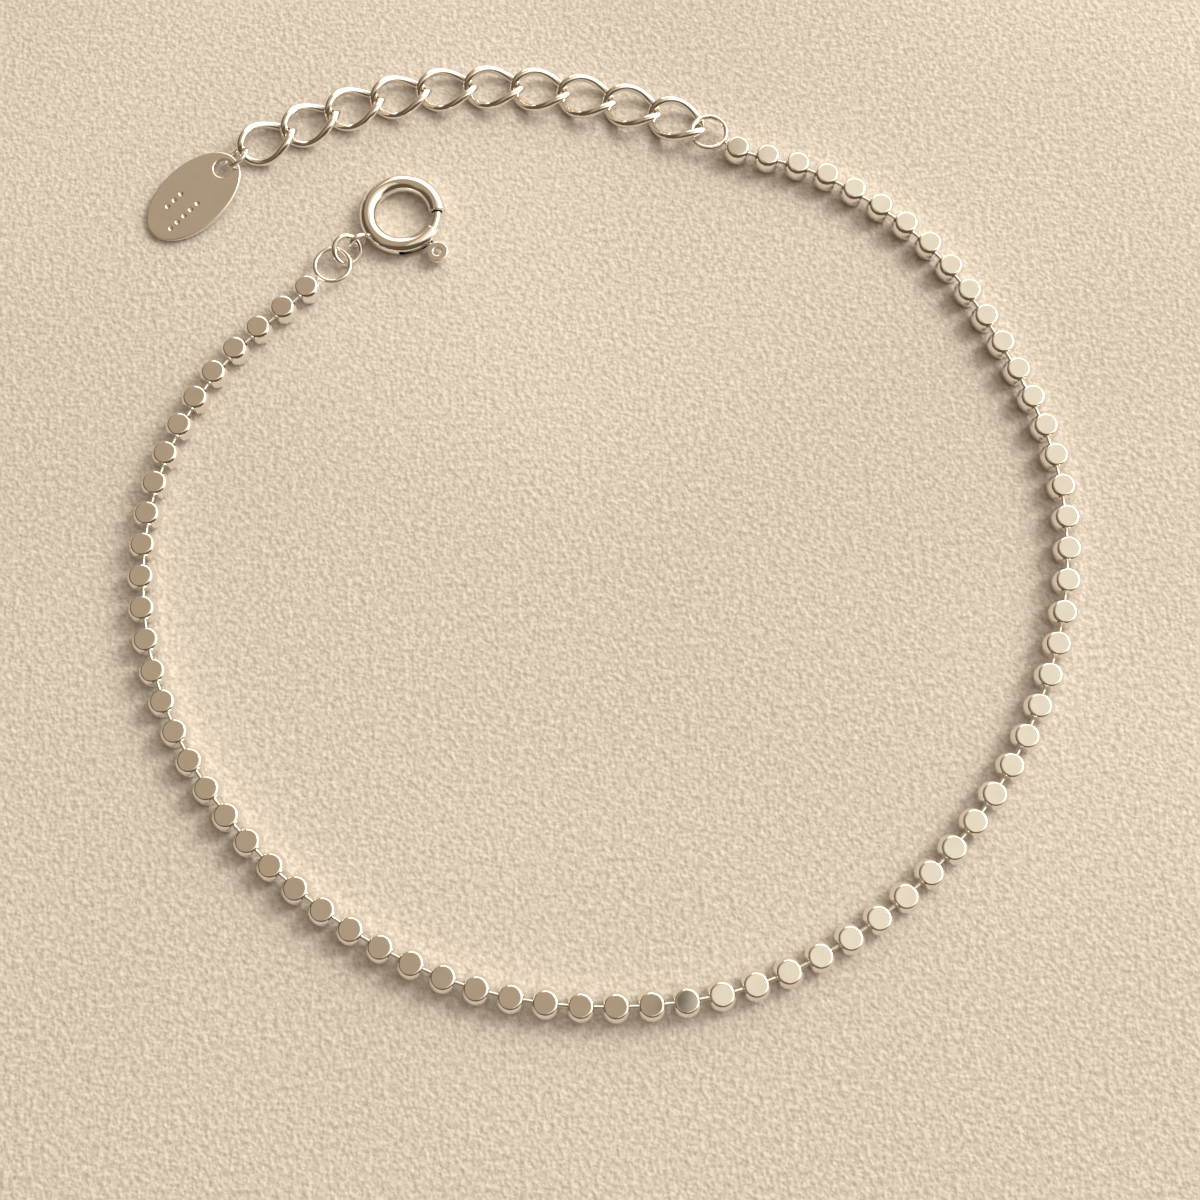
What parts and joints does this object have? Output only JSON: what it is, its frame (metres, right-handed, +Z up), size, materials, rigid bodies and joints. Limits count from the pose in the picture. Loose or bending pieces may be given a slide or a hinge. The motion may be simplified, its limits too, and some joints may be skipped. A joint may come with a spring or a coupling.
{
  "type": "chain bracelet with spring-ring clasp and extender",
  "caption": "Open silver bracelet of small faceted beads on wire, with a sprung ring clasp at one end and a curb-link extender with an oval tag at the other.",
  "frame": {"origin": "middle of the footprint of the laid-out bracelet, on the surface it lies on", "axes": "+Z up out of the surface, +Y across the loop towards the extender, +X from the clasp's side to the extender's side"},
  "size_m": [0.0606, 0.0646, 0.0016],
  "materials": {
    "chain_silver": "mirror-polished silver with cut flats",
    "link_silver": "polished silver wire",
    "jump_ring_silver": "polished silver wire",
    "tag_ring_silver": "polished silver wire",
    "tag_silver": "polished silver plate",
    "clasp_silver": "polished silver",
    "bolt_silver": "polished silver"
  },
  "bodies": {
    "bracelet": {"bead_chain": "chain_silver", "clasp_ring": "clasp_silver", "jump_ring": "jump_ring_silver", "extender_link_01": "link_silver", "extender_link_02": "link_silver", "extender_link_03": "link_silver", "extender_link_04": "link_silver", "extender_link_05": "link_silver", "extender_link_06": "link_silver", "extender_link_07": "link_silver", "extender_link_08": "link_silver", "extender_link_09": "link_silver", "extender_link_10": "link_silver", "tag_ring": "tag_ring_silver", "tag": "tag_silver"},
    "bolt": {"clasp_bolt": "bolt_silver"}
  },
  "joints": [
    {"name": "clasp_bolt_slide", "type": "hinge", "parent": "bracelet", "child": "bolt", "pos_m": [-0.01217, 0.02161, 0.00057], "axis": [0, 0, 1], "range_deg": [-38, 0], "stiffness_Nm_per_rad": 0.001}
  ]
}
